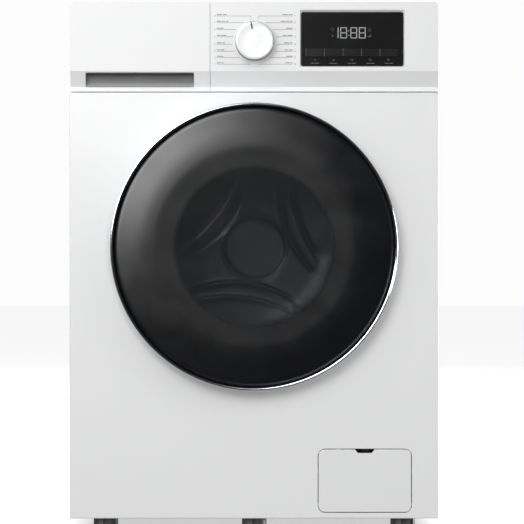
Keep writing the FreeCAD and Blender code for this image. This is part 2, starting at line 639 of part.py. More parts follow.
def door_rear_frame():
    """Moulded ring that clamps the bowl from behind, with openings for the hinge and the hook."""
    ring = turned([(151.6, -256.8), (214.0, -256.8), (214.0, -261.9), (229.0, -261.9), (229.0, -260.4), (221.0, -259.6),
                   (211.0, -251.0), (160.0, -249.0), (151.6, -251.0)])
    ring = ring.cut(box((-240.0, -172.0), (-262.0, -240.0), (AXIS_Z - 56, AXIS_Z + 56)))
    return ring.cut(latch_pocket())


def door_hinge_leaf():
    """Cast leaf fixed in the door, with the hinge pin through its knuckle."""
    plate = box((-206.0, -170.0), (-266.0, -262.6), (AXIS_Z - 34, AXIS_Z + 34))
    knuckle = rod_z(5.0, AXIS_Z - 34, AXIS_Z + 34, HINGE_X, HINGE_Y)
    pin = rod_z(HINGE_PIN_R, AXIS_Z - 50, AXIS_Z + 50, HINGE_X, HINGE_Y)
    return fuse([plate, box((-211.0, -204.0), (-271.0, -262.6), (AXIS_Z - 34, AXIS_Z + 34)), knuckle, pin])


def hinge_bracket():
    """Fixed bracket with two goosenecked arms that reach round the edge of the door."""
    x, y = HINGE_X, HINGE_Y
    solids = [box((-205.0, -182.0), (DISH_FLOOR_Y - SHEET - 2.5, DISH_FLOOR_Y - SHEET), (AXIS_Z - 52, AXIS_Z + 52))]
    neck = [(x - 1.5, y + 3.0), (x + 1.5, y - 3.0), (x + 25.0, y + 9.5), (x + 25.0, y + 27.0), (x + 19.0, y + 27.0),
            (x + 19.0, y + 14.0)]
    bores = []
    for side in (-1, 1):
        low, high = sorted((AXIS_Z + side * ARM_Z[0], AXIS_Z + side * ARM_Z[1]))
        solids += [prism(neck, "z", low, high), rod_z(5.0, low, high, x, y)]
        bores.append(rod_z(HINGE_PIN_R + RUNNING_GAP, low - 1, high + 1, x, y))
    return fuse(solids).cut(bores[0]).cut(bores[1])


def latch_hook():
    """Pivoting hook with its cross pin. It snaps into the door lock."""
    shank = [(LATCH_X - 3, -264.0), (LATCH_X + 3, -264.0), (LATCH_X + 3, -226.0), (LATCH_X + 7, -230.0),
             (LATCH_X + 7, -226.0), (LATCH_X + 2, -219.0), (LATCH_X - 3, -221.0)]
    hook = prism(shank, "z", AXIS_Z - 4, AXIS_Z + 4)
    return hook.fuse(rod_z(4.5, AXIS_Z - 11.5, AXIS_Z + 11.5, LATCH_X, -264.4))


def door_lock():
    """Electric lock behind the front panel, with the mouth for the hook."""
    case = box((LATCH_X - 16, LATCH_X + 16), (-237.5, -208.0), (AXIS_Z - 34, AXIS_Z + 34))
    return case.cut(box((LATCH_X - 13, LATCH_X + 12), (-238.0, -212.0), (AXIS_Z - 9, AXIS_Z + 9)))


def door_gasket():
    """Rubber bellows from the front sheet to the tub, with the lip that meets the bowl."""
    return turned([
        (178.0, -244.8), (178.0, -241.6), (171.9, -241.6), (171.9, -239.9), (178.0, -239.9), (178.0, -236.0),
        (169.0, -236.0), (169.0, -230.0), (181.0, -224.0), (181.0, -219.0), (168.0, -214.0), (168.0, -210.0),
        (176.1, -207.5), (183.0, -207.5), (183.0, -196.0), (176.1, -196.0), (176.1, -206.4), (171.9, -206.4),
        (171.9, -192.0), (166.0, -190.0), (165.0, -209.0), (165.0, -216.0), (177.6, -221.0), (177.6, -222.4),
        (166.0, -228.2), (166.0, -233.0), (152.0, -226.0), (150.2, -229.5), (164.0, -242.0), (168.0, -244.8),
    ])


# ---- tub ----
def tub_front():
    """Front half of the tub with the gasket lip and the heater sump."""
    half = turned([
        (172.0, -206.0), (176.0, -206.0), (176.0, TUB_FRONT_Y), (TUB_R - 6, TUB_FRONT_Y), (TUB_R, -182.0),
        (TUB_R, -30.0), (TUB_R + 8, -30.0), (TUB_R + 8, TUB_SPLIT_Y), (TUB_R - TUB_WALL, TUB_SPLIT_Y),
        (TUB_R - TUB_WALL, -180.0), (TUB_R - 8, -184.0), (172.0, -184.0),
    ])
    sump = box((-78.0, 78.0), (-178.0, -42.0), (176.0, 250.0))
    half = half.fuse(sump.cut(rod_y(TUB_R - TUB_WALL, -200.0, 0.0)))
    half = half.cut(box((-74.0, 74.0), (-174.0, -46.0), (180.0, 250.0)).cut(rod_y(TUB_R - TUB_WALL - 1, -200, 0)))
    half = half.fuse(tube_z(14.0, 11.0, 160.0, 180.0, 60.0, -110.0)).cut(rod_z(11.0, 150.0, 190.0, 60.0, -110.0))
    half = half.cut(box((-30.0, 30.0), (-190.0, -170.0), (186.0, 206.0)))
    spout = tube_z(14.0, 11.0, 620.0, 716.0 - 10.0, -185.0, -62.0).cut(rod_y(TUB_R - 1, -100.0, -30.0))
    return half.fuse(spout).cut(rod_z(11.0, 600.0, 720.0, -185.0, -62.0)).removeSplitter()


def tube_z(outer, inner, z0, z1, x, y):
    """Round tube along Z."""
    return rod_z(outer, z0, z1, x, y).cut(rod_z(inner, z0 - 1, z1 + 1, x, y))


def tub_rear():
    """Rear half of the tub with ribs, the bearing hub, spring ears, damper ears and motor mount."""
    wall = TUB_BACK_Y - 5.0
    half = turned([
        (TUB_R - TUB_WALL, TUB_SPLIT_Y + 0.1), (TUB_R + 8, TUB_SPLIT_Y + 0.1), (TUB_R + 8, -14.0), (TUB_R, -14.0),
        (TUB_R, TUB_BACK_Y - 6), (TUB_R - 6, TUB_BACK_Y), (50.0, TUB_BACK_Y), (50.0, 196.0), (24.0, 196.0),
        (24.0, 180.0), (17.0, 180.0), (17.0, 166.0), (28.0, 166.0), (28.0, wall), (TUB_R - 8, wall),
        (TUB_R - TUB_WALL, wall - 4),
    ])
    rib = box((49.0, 240.0), (TUB_BACK_Y - 1.0, TUB_BACK_Y + 16.0), (AXIS_Z - 2, AXIS_Z + 2))
    ribs = [spun(rib, 30.0 * step + 15.0) for step in range(12)]
    ribs.append(tube_y(150.0, 146.0, TUB_BACK_Y - 1.0, TUB_BACK_Y + 16.0))
    solids = [half] + ribs
    for side in (-1, 1):
        ear = box(sorted((side * 205.0, side * 243.0)), (-8.0, 8.0), (598.0, 620.0))
        foot = box((side * DAMPER_X - 14, side * DAMPER_X + 14), (DAMPER_Y - 10, DAMPER_Y + 10), (212.0, 275.0))
        strap = box((side * 52.0 - 8, side * 52.0 + 8), (70.0, 140.0), (MOTOR_Z + 58.0, 215.0))
        for part in (ear, foot, strap):
            solids.append(part.cut(rod_y(TUB_R - 1, -100.0, 200.0)))
    tub = fuse(solids)
    for side in (-1, 1):
        tub = tub.cut(rod_z(2.4, 590.0, 630.0, side * 234.0, 0.0))
        tub = tub.cut(rod_z(8.0, 200.0, 225.0, side * DAMPER_X, DAMPER_Y))
    return tub.cut(rod_y(62.0, 60.0, 190.0, 0.0, MOTOR_Z))


def front_counterweight():
    """Cast ring of concrete on the tub front, open at the bottom."""
    ring = tube_y(249.0, 190.0, -206.0, TUB_FRONT_Y - 0.2)
    return ring.cut(box((-95.0, 95.0), (-220.0, -180.0), (180.0, AXIS_Z - 100.0)))


def heater():
    """Looped heating rod on its sealing flange."""
    flange = box((-29.0, 29.0), (-184.0, -171.0), (187.0, 203.0))
    rods = [rod_y(4.0, -172.0, -60.0, x, 195.0) for x in (-22.0, 22.0)]
    bend = box((-26.0, 26.0), (-64.0, -56.0), (191.0, 199.0))
    bend = bend.makeFillet(3.6, bend.Edges)
    return fuse([flange] + rods + [bend])


def suspension_springs():
    """Two coil springs with hooked ends that carry the tub."""
    springs = []
    for side in (-1, 1):
        helix = Part.makeHelix(6.0, 132.0, 11.0)
        ring = Part.Wire(Part.makeCircle(1.7, V(11.0, 0, 0), V(0, 1, 0)))
        coil = Part.Wire(helix).makePipeShell([ring], True, True)
        coil.translate(V(side * 234.0, 0.0, 650.0))
        low = rod_z(1.7, 606.0, 653.0, side * 234.0, 0.0)
        high = rod_z(1.7, 779.0, 827.5, side * 234.0, 0.0)
        arms = [box((side * 234.0 - 1.2, side * 234.0 + 11.0), (-1.2, 1.2), (z - 1.2, z + 1.2)) for z in (650.6, 781.4)]
        springs.append(coil.multiFuse([low, high] + arms))
    return Part.makeCompound(springs)


def tub_dampers():
    """Two friction dampers: cylinders on the base and rods that hang from the tub into them."""
    solids = []
    for side in (-1, 1):
        solids.append(tube_z(15.0, 8.4, 52.1, 160.0, side * DAMPER_X, DAMPER_Y))
        solids.append(rod_z(7.9, 80.0, 224.0, side * DAMPER_X, DAMPER_Y))
    return Part.makeCompound(solids)


def motor_housing():
    """Drum motor under the tub, with cooling slots."""
    body = rod_y(61.5, 66.0, 184.0, 0.0, MOTOR_Z).cut(rod_y(46.0, 74.0, 176.0, 0.0, MOTOR_Z))
    for step in range(12):
        slot = box((30.0, 57.0), (60.0, 70.0), (MOTOR_Z - 2.0, MOTOR_Z + 2.0))
        slot.rotate(V(0, 0, MOTOR_Z), V(0, 1, 0), 30.0 * step)
        body = body.cut(slot).cut(slot.translated(V(0, 115.0, 0)))
    return body.cut(rod_y(7.0 + RUNNING_GAP, 170.0, 190.0, 0.0, MOTOR_Z))


def motor_rotor():
    """Rotor, shaft and ribbed belt pulley."""
    solids = [rod_y(45.0, 84.0, 166.0, 0.0, MOTOR_Z), rod_y(7.0, 165.0, PULLEY_Y[1], 0.0, MOTOR_Z)]
    solids.append(rod_y(MOTOR_PULLEY_R, PULLEY_Y[0] - 1, PULLEY_Y[1] + 1, 0.0, MOTOR_Z))
    return fuse(solids)


# ---- drum ----
def drum_shell():
    """Perforated drum wall with the drawn front lip."""
    w = DRUM_WALL
    r = DRUM_R
    shell = turned([
        (r - w, DRUM_Y[1]), (r, DRUM_Y[1]), (r, DRUM_Y[0]), (r - 3, -161.0), (r - 10, -167.0), (r - 20, -170.0),
        (178.0, -177.0), (173.0, -177.6), (169.5, -175.4), (168.0, -171.0), (169.2, -171.0), (170.5, -174.6),
        (173.2, -176.3), (177.8, -175.8), (r - 20.2, -168.8), (r - 10.8, -165.9), (r - 4.2, -160.3),
        (r - w, DRUM_Y[0]),
    ])
    holes = []
    for sector in range(3):
        for column in range(9):
            angle = DRUM_TURN + 120.0 * sector + 66.0 + 9.0 * (column - 4)
            for row in range(9):
                y = -132.0 + 28.0 * row + (14.0 if column % 2 else 0.0)
                if y < 112.0:
                    hole = Part.makeCylinder(2.2, 20.0, V(r - 10, y, AXIS_Z), V(1, 0, 0))
                    holes.append(spun(hole, angle))
    return shell.cut(Part.makeCompound(holes))


def star(y0, y1, centre, radius, limit):
    """Disc with three round bites, so that three flared arms are left."""
    disc = rod_y(limit, y0, y1)
    for step in range(3):
        bite = rod_y(radius, y0 - 1, y1 + 1, centre, AXIS_Z)
        disc = disc.cut(spun(bite, DRUM_TURN + 30.0 + 120.0 * step))
    return disc


def drum_back():
    """Pressed back of the drum: two star steps, a round hub cap and a rolled edge."""
    rim = DRUM_R - DRUM_WALL - 0.1
    t = 1.5
    front = [rod_y(rim, DRUM_BACK_Y, DRUM_Y[1])]
    behind = [rod_y(rim - t, DRUM_BACK_Y + t, DRUM_Y[1] + 1)]
    for centre, radius, y in STAR_STEPS:
        front.append(star(y, DRUM_BACK_Y + 1, centre, radius, rim))
        behind.append(star(y + t, DRUM_BACK_Y + t + 1, centre, radius + t, rim - t))
    front.append(rod_y(HUB_R, 100.5, DRUM_BACK_Y))
    behind.append(rod_y(HUB_R - t, 100.5 + t, DRUM_BACK_Y + t))
    return fuse(front).cut(fuse(behind))


def drum_lifters():
    """Three moulded paddles inside the drum wall."""
    outline = [(-34.0, 0.6), (34.0, 0.6), (20.0, 22.0), (9.0, 46.0), (-9.0, 46.0), (-20.0, 22.0)]
    paddles = []
    for step in range(3):
        corners = [V(u, -136.0, AXIS_Z - DRUM_R + DRUM_WALL + w) for u, w in outline]
        body = Part.Face(Part.makePolygon(corners + [corners[0]])).extrude(V(0, 228.0, 0))
        body = body.common(rod_y(DRUM_R - DRUM_WALL - 0.1, -150.0, 110.0))
        body = rounded(body, V(0, 1, 0), 6.0, lambda p: abs(p.x) < 12 and p.z > AXIS_Z - DRUM_R + 20)
        paddles.append(spun(body, DRUM_TURN + 90.0 + 6.0 + 120.0 * step))
    return Part.makeCompound(paddles)


def drum_spider_shaft():
    """Cast three-armed spider with the drum shaft."""
    solids = [rod_y(36.0, 124.2, 142.0), rod_y(15.0, 141.0, 168.0), rod_y(12.5, 167.0, 232.0)]
    for step in range(3):
        arm = box((0.0, 226.0), (124.2, 136.0), (AXIS_Z - 15.0, AXIS_Z + 15.0))
        solids.append(spun(arm, DRUM_TURN + 90.0 + 120.0 * step))
    return fuse(solids)


def tub_bearings():
    """Front and rear ball bearings of the drum shaft."""
    pair = [tube_y(28.0, 15.0 + RUNNING_GAP, 151.0, 166.0), tube_y(24.0, 12.5 + RUNNING_GAP, 180.0, 194.0)]
    return Part.makeCompound(pair)


def drum_pulley():
    """Five-spoked cast pulley."""
    solids = [tube_y(PULLEY_R, PULLEY_R - 9, PULLEY_Y[0], PULLEY_Y[1]), rod_y(24.0, PULLEY_Y[0] - 4, PULLEY_Y[1])]
    for step in range(5):
        spoke = box((10.0, PULLEY_R - 4), (PULLEY_Y[0] + 4, PULLEY_Y[1] - 2), (AXIS_Z - 9.0, AXIS_Z + 9.0))
        solids.append(spun(spoke, 72.0 * step + 90.0))
    return fuse(solids).cut(rod_y(12.5, 190.0, 240.0))


def belt_loop(gap):
    """Outline solid round both pulleys, larger than them by the gap."""
    big = PULLEY_R + gap
    small = MOTOR_PULLEY_R + gap
    drop = AXIS_Z - MOTOR_Z
    lean = math.acos((big - small) / drop)
    across, down = (math.sin(lean), math.cos(lean))
    corners = []
    for side, reach, z in ((-1, big, AXIS_Z), (1, big, AXIS_Z), (1, small, MOTOR_Z), (-1, small, MOTOR_Z)):
        corners.append((side * reach * across, z - reach * down))
    y0, y1 = (PULLEY_Y[0] + 2, PULLEY_Y[1] - 2)
    return fuse([prism(corners, "y", y0, y1), rod_y(big, y0, y1), rod_y(small, y0, y1, 0.0, MOTOR_Z)])


def drive_belt():
    """Flat ribbed belt."""
    return belt_loop(3.3).cut(belt_loop(0.3))


def filter_flap():
    """Flap over the drain filter with a finger notch and two hinge pins."""
    y0 = FRONT_Y
    flap = rounded(box(FLAP_X, (y0, y0 + FLAP_T), FLAP_Z), V(0, 1, 0), FLAP_CORNER_R - 1)
    notch = [(162.4, 128.5), (195.6, 128.5), (190.0, 121.8), (168.0, 121.8)]
    flap = flap.cut(prism(notch, "y", y0 - 1, y0 + 10))
    flap = flap.makeFillet(0.8, [e for e in flap.Edges if e.BoundBox.YMax < y0 + 0.01])
    y, z = FLAP_AXIS
    for side, edge in ((-1, FLAP_X[0] + 14), (1, FLAP_X[1] - 14)):
        tip = edge + side * 20.0
        flap = flap.fuse(rod_x(1.9, min(edge, tip), max(edge, tip), y, z))
        flap = flap.fuse(box((edge - 6, edge + 6), (y - 1.0, y + 1.9), (z - 1.9, z + 3.0)))
    return flap


NODES = {
    "cabinet_shell": cabinet_shell, "front_panel": front_panel, "worktop": worktop, "base_tray": base_tray,
    "rear_access_cover": rear_access_cover, "rear_cover_screws": rear_cover_screws,
    "mains_cord_gland": mains_cord_gland, "centre_foot": centre_foot, "inlet_valve": inlet_valve,
    "valve_hose": valve_hose, "dispenser_tub_hose": dispenser_tub_hose, "dispenser_housing": dispenser_housing,
    "drain_pump_body": drain_pump_body, "pump_impeller": pump_impeller, "pump_filter": pump_filter,
    "sump_hose": sump_hose, "drain_outlet_hose": drain_outlet_hose, "drain_outlet": drain_outlet,
    "control_panel": control_panel, "display_window": display_window, "control_board": control_board,
    "selector_knob": selector_knob, "drawer_front": drawer_front, "drawer_tray": drawer_tray,
    "siphon_cap": siphon_cap, "door_cover": door_cover, "door_front_frame": door_front_frame,
    "door_rim": door_rim, "door_glass": door_glass, "door_rear_frame": door_rear_frame,
    "door_hinge_leaf": door_hinge_leaf, "hinge_bracket": hinge_bracket, "latch_hook": latch_hook,
    "door_lock": door_lock, "door_gasket": door_gasket, "tub_front": tub_front, "tub_rear": tub_rear,
    "front_counterweight": front_counterweight, "heater": heater, "suspension_springs": suspension_springs,
    "tub_dampers": tub_dampers, "motor_housing": motor_housing,
    "motor_rotor": motor_rotor, "drum_shell": drum_shell, "drum_back": drum_back, "drum_lifters": drum_lifters,
    "drum_spider_shaft": drum_spider_shaft, "tub_bearings": tub_bearings, "drum_pulley": drum_pulley,
    "drive_belt": drive_belt, "filter_flap": filter_flap,
}

for node_name, make in NODES.items():
    save(node_name, make())
for number, place in enumerate(foot_places(), start=1):
    save("levelling_foot_%d" % number, levelling_foot(*place))
for number in range(BUTTON_COUNT):
    save("option_button_%d" % (number + 1), option_button(number))
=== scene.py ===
import bpy
import bmesh
import json
import math
from mathutils import Matrix, Vector


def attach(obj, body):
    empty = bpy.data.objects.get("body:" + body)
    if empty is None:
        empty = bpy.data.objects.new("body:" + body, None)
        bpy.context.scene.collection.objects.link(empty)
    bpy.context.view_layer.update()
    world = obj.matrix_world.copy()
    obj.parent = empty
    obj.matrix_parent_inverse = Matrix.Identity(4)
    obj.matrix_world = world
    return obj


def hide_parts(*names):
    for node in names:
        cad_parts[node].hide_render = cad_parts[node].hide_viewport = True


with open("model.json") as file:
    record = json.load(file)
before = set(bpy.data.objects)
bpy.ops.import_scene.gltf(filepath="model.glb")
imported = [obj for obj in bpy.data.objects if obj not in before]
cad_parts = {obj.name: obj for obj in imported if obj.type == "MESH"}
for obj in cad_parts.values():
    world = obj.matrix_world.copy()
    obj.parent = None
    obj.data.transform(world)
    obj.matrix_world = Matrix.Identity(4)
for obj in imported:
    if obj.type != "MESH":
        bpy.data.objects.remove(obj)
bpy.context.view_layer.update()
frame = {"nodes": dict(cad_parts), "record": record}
NODES = frame["nodes"]
MM = 0.001
AXIS_Z = 0.4557


# ---- materials ----
def tree_of(name):
    """New node material with its shader and an object coordinate node."""
    mat = bpy.data.materials.new(name)
    mat.use_nodes = True
    tree = mat.node_tree
    return mat, tree, tree.nodes["Principled BSDF"], tree.nodes.new("ShaderNodeTexCoord")


def stretched(tree, coords, scale):
    """Object coordinates scaled along each axis."""
    mapping = tree.nodes.new("ShaderNodeMapping")
    mapping.inputs["Scale"].default_value = scale
    tree.links.new(coords.outputs["Object"], mapping.inputs["Vector"])
    return mapping.outputs["Vector"]


def noise(tree, vector, scale, detail=4.0):
    """Noise texture on the given coordinates."""
    node = tree.nodes.new("ShaderNodeTexNoise")
    node.inputs["Scale"].default_value = scale
    node.inputs["Detail"].default_value = detail
    tree.links.new(vector, node.inputs["Vector"])
    return node.outputs["Fac"]


def spread(tree, value, low, high):
    """Map the middle of a noise to a range."""
    node = tree.nodes.new("ShaderNodeMapRange")
    node.inputs["From Min"].default_value = 0.3
    node.inputs["From Max"].default_value = 0.7
    node.inputs["To Min"].default_value = low
    node.inputs["To Max"].default_value = high
    tree.links.new(value, node.inputs["Value"])
    return node.outputs["Result"]


def surface(name, colour, rough, metal=0.0, vary=0.03, grain=900.0, depth=0.02, stretch=(1, 1, 1), coat=0.0,
            wear=0.12, **extra):
    """Procedural surface: slow colour drift, a worn roughness and a fine grain."""
    mat, tree, shader, coords = tree_of(name)
    base = stretched(tree, coords, (1, 1, 1))
    fine = stretched(tree, coords, stretch)
    ramp = tree.nodes.new("ShaderNodeValToRGB")
    ramp.color_ramp.elements[0].position = 0.3
    ramp.color_ramp.elements[1].position = 0.7
    ramp.color_ramp.elements[0].color = [c * (1 - vary) for c in colour] + [1]
    ramp.color_ramp.elements[1].color = [min(1.0, c * (1 + vary)) for c in colour] + [1]
    tree.links.new(noise(tree, base, 7.0), ramp.inputs["Fac"])
    tree.links.new(ramp.outputs["Color"], shader.inputs["Base Color"])
    worn = spread(tree, noise(tree, base, 23.0, 6.0), rough * (1 - wear), rough * (1 + wear))
    tree.links.new(worn, shader.inputs["Roughness"])
    bump = tree.nodes.new("ShaderNodeBump")
    bump.inputs["Strength"].default_value = depth
    bump.inputs["Distance"].default_value = 0.0004
    tree.links.new(noise(tree, fine, grain, 3.0), bump.inputs["Height"])
    tree.links.new(bump.outputs["Normal"], shader.inputs["Normal"])
    shader.inputs["Metallic"].default_value = metal
    shader.inputs["Coat Weight"].default_value = coat
    shader.inputs["Coat Roughness"].default_value = 0.08
    for socket, value in extra.items():
        shader.inputs[socket.replace("_", " ")].default_value = value
    return mat


def glow(name, colour, strength):
    """Lit segment or icon."""
    mat = surface(name, colour, 0.4, vary=0.01)
    shader = mat.node_tree.nodes["Principled BSDF"]
    shader.inputs["Emission Color"].default_value = (*colour, 1)
    shader.inputs["Emission Strength"].default_value = strength
    return mat


MATS = {
    "white_enamel": surface("white_enamel", (0.84, 0.842, 0.845), 0.3, vary=0.0006, depth=0.0, coat=0.2,
                            wear=0.01),
    "white_plastic": surface("white_plastic", (0.80, 0.802, 0.808), 0.4, vary=0.0008, depth=0.0, wear=0.01),
    "white_laminate": surface("white_laminate", (0.80, 0.80, 0.795), 0.45, vary=0.008, grain=300, depth=0.06),
    "smoked_cover": surface("smoked_cover", (0.004, 0.0045, 0.006), 0.36, vary=0.1, depth=0.0,
                            Specular_IOR_Level=0.34),
    "smoked_window": surface("smoked_window", (0.009, 0.009, 0.01), 0.16, vary=0.1, depth=0.01),
    "button_black": surface("button_black", (0.012, 0.012, 0.013), 0.2, vary=0.1, grain=2500, depth=0.04),
    "black_plastic": surface("black_plastic", (0.012, 0.012, 0.013), 0.42, vary=0.15, grain=1800, depth=0.25),
    "grey_plastic": surface("grey_plastic", (0.42, 0.43, 0.44), 0.45, vary=0.04, grain=1500, depth=0.15),
    "dark_grey_plastic": surface("dark_grey_plastic", (0.10, 0.10, 0.105), 0.5, vary=0.1, grain=1200,
                                 depth=0.3),
    "polished_trim": surface("polished_trim", (0.40, 0.405, 0.42), 0.14, metal=1.0, vary=0.02, depth=0.01),
    "bowl_glass": surface("bowl_glass", (0.05, 0.065, 0.10), 0.04, vary=0.02, depth=0.0, Alpha=0.13),
    "gasket_rubber": surface("gasket_rubber", (0.17, 0.18, 0.19), 0.6, vary=0.08, grain=700, depth=0.3),
    "black_rubber": surface("black_rubber", (0.02, 0.02, 0.02), 0.65, vary=0.15, grain=900, depth=0.4),
    "stainless": surface("stainless", (0.56, 0.56, 0.57), 0.26, metal=1.0, grain=220, depth=0.04,
                         stretch=(1, 14, 1)),
    "zinc_steel": surface("zinc_steel", (0.52, 0.53, 0.54), 0.38, metal=1.0, vary=0.08, grain=60, depth=0.15),
    "cast_aluminium": surface("cast_aluminium", (0.50, 0.51, 0.52), 0.5, metal=1.0, vary=0.06, grain=350,
                              depth=0.5),
    "tub_plastic": surface("tub_plastic", (0.40, 0.40, 0.38), 0.55, vary=0.06, grain=600, depth=0.3),
    "concrete": surface("concrete", (0.30, 0.29, 0.28), 0.85, vary=0.15, grain=180, depth=1.0),
    "circuit_board": surface("circuit_board", (0.02, 0.10, 0.04), 0.35, vary=0.2, grain=400, depth=0.3,
                             coat=0.4),
    "knob_silver": surface("knob_silver", (0.86, 0.865, 0.87), 0.32, metal=0.1, vary=0.01, grain=1500,
                           depth=0.05),
    "blue_plastic": surface("blue_plastic", (0.06, 0.20, 0.45), 0.4, vary=0.05, grain=1500, depth=0.15),
}
PRINT_GREY = surface("print_grey", (0.20, 0.20, 0.21), 0.5, vary=0.05, depth=0.02)
PRINT_DARK = surface("pointer_dark", (0.03, 0.03, 0.032), 0.4, vary=0.05, depth=0.02)
LIT = glow("display_light", (0.30, 0.31, 0.315), 0.12)
DIM = glow("display_dim", (0.13, 0.135, 0.14), 0.03)


def see_through(mat, inner, outer, clear, full):
    """Alpha that is low inside one radius of the door axis and full outside another."""
    tree = mat.node_tree
    coords = tree.nodes.new("ShaderNodeTexCoord")
    flat = tree.nodes.new("ShaderNodeMapping")
    flat.inputs["Scale"].default_value = (1, 0, 1)
    flat.inputs["Location"].default_value = (0, 0, -AXIS_Z)
    tree.links.new(coords.outputs["Object"], flat.inputs["Vector"])
    radius = tree.nodes.new("ShaderNodeVectorMath")
    radius.operation = "LENGTH"
    tree.links.new(flat.outputs["Vector"], radius.inputs[0])
    step = tree.nodes.new("ShaderNodeMapRange")
    for socket, value in (("From Min", inner), ("From Max", outer), ("To Min", clear), ("To Max", full)):
        step.inputs[socket].default_value = value
    tree.links.new(radius.outputs["Value"], step.inputs["Value"])
    tree.links.new(step.outputs["Result"], tree.nodes["Principled BSDF"].inputs["Alpha"])


WINDOW_CLEAR_R, WINDOW_OPAQUE_R = 0.124, 0.132
see_through(MATS["smoked_cover"], WINDOW_CLEAR_R, WINDOW_OPAQUE_R, 0.30, 0.97)

SLOT_OF = {entry["node"]: entry["material_slot"] for entry in frame["record"]["subparts"]}
for node, obj in NODES.items():
    obj.data.materials.clear()
    obj.data.materials.append(MATS[SLOT_OF[node]])


# ---- mesh helpers ----
SHARP_ANGLE = math.radians(38)


def add(name, bm, mat, body, smooth=True):
    """Finish a bmesh as a piece that rides on a body."""
    bmesh.ops.recalc_face_normals(bm, faces=bm.faces)
    mesh = bpy.data.meshes.new(name)
    bm.to_mesh(mesh)
    bm.free()
    for face in mesh.polygons:
        face.use_smooth = smooth
    mesh.materials.append(mat)
    obj = bpy.data.objects.new(name, mesh)
    bpy.context.scene.collection.objects.link(obj)
    if smooth:
        mesh.set_sharp_from_angle(angle=SHARP_ANGLE)
    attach(obj, body)
    return obj


def eased(points, steps=5):
    """Catmull-Rom curve through (radius, y) points."""
    out = []
    last = len(points) - 1
    for i in range(last):
        p = [Vector(points[max(0, min(last, i + k))]) for k in (-1, 0, 1, 2)]
        for s in range(steps):
            t = s / steps
            square = (2 * p[0] - 5 * p[1] + 4 * p[2] - p[3]) * t * t
            cube = (3 * p[1] - p[0] - 3 * p[2] + p[3]) * t ** 3
            out.append(0.5 * ((2 * p[1]) + (p[2] - p[0]) * t + square + cube))
    out.append(Vector(points[-1]))
    return [(v.x, v.y) for v in out]


def lathe(name, profile, mat, body, x=0.0, z=AXIS_Z / MM, segments=240):
    """Closed solid of revolution about a line along Y. The profile is in millimetres."""
    bm = bmesh.new()
    rings = []
    for radius, y in profile:
        if radius < 0.01:
            rings.append([bm.verts.new((x * MM, y * MM, z * MM))])
            continue
        ring = []
        for k in range(segments):
            a = 2 * math.pi * k / segments
            px, pz = x + radius * math.cos(a), z + radius * math.sin(a)
            ring.append(bm.verts.new((px * MM, y * MM, pz * MM)))
        rings.append(ring)
    for i, ring in enumerate(rings):
        other = rings[(i + 1) % len(rings)]
        if len(ring) == 1 and len(other) == 1:
            continue
        for k in range(segments):
            n = (k + 1) % segments
            corners = [ring[k % len(ring)], ring[n % len(ring)], other[n % len(other)], other[k % len(other)]]
            bm.faces.new(list(dict.fromkeys(corners)))
    return add(name, bm, mat, body)


def block(bm, x, y, z, turn=0.0, about=None):
    """Box with softly chamfered front edges, in millimetres, turned about Y if asked."""
    x0, x1 = sorted(x)
    z0, z1 = sorted(z)
    y0, y1 = sorted(y)
    inset = min(0.12, (x1 - x0) / 5, (z1 - z0) / 5)
    loops = []
    for yy, d in ((y1, 0.0), (y0 + inset, 0.0), (y0, inset)):
        corners = ((x0 + d, z0 + d), (x1 - d, z0 + d), (x1 - d, z1 - d), (x0 + d, z1 - d))
        loops.append([bm.verts.new(Vector((cx, yy, cz)) * MM) for cx, cz in corners])
    bm.faces.new(loops[0])
    bm.faces.new(loops[-1][::-1])
    for a, b in zip(loops, loops[1:]):
        for k in range(4):
            bm.faces.new([a[k], a[(k + 1) % 4], b[(k + 1) % 4], b[k]])
    if turn:
        verts = [v for loop in loops for v in loop]
        spin = Matrix.Rotation(-turn, 3, "Y")
        bmesh.ops.rotate(bm, verts=verts, cent=Vector(about) * MM, matrix=spin)


# ---- door: smooth lathed pieces in place of the faceted ones ----
COVER_FRONT = eased([(226.3, -266.0), (226.3, -269.5), (225.2, -272.4), (222.6, -275.4), (218.6, -277.9),
                     (213.0, -279.6), (204.0, -282.0), (195.0, -284.4), (186.0, -286.6), (177.0, -288.3),
                     (168.0, -289.4), (159.0, -289.9), (145.0, -289.6)], 5)
COVER_BACK = [(0.0, -285.6), (145.0, -286.8), (159.0, -287.0), (177.0, -285.6), (195.0, -281.6),
              (213.0, -276.2), (218.0, -275.2), (221.0, -272.8), (223.4, -268.5), (223.6, -266.0)]
cover = lathe("door_cover_smoked", COVER_FRONT + [(110.0, -288.9), (50.0, -288.1), (0.0, -287.8)]
              + COVER_BACK, MATS["smoked_cover"], "door")
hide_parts("door_cover")
RIM_OUT = eased([(232.0, -265.0), (232.0, -270.0), (231.9, -275.0), (231.2, -278.6), (229.6, -280.2),
                 (227.9, -279.6), (226.9, -277.8)], 4)
RIM_BACK = [(226.4, -262.0), (230.5, -262.0), (231.6, -263.0)]
rim = lathe("door_rim_polished", RIM_BACK + RIM_OUT + [(226.4, -276.0)],
            MATS["polished_trim"], "door")
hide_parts("door_rim")
BOWL_OUT = eased([(150.5, -257.0), (149.4, -240.0), (146.0, -215.0), (141.0, -188.0), (134.0, -168.0),
                  (122.0, -157.0), (104.0, -152.3), (60.0, -150.6), (0.0, -150.0)], 4)
BOWL_IN = eased([(0.0, -155.0), (60.0, -155.6), (101.0, -157.5), (117.0, -161.6), (128.5, -171.0),
                 (135.6, -190.0), (140.6, -216.0), (144.0, -240.0), (145.5, -262.4)], 4)
bowl = lathe("door_bowl_glass", [(166.0, -262.4), (166.0, -257.0)] + BOWL_OUT + BOWL_IN,
             MATS["bowl_glass"], "door")
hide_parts("door_glass")

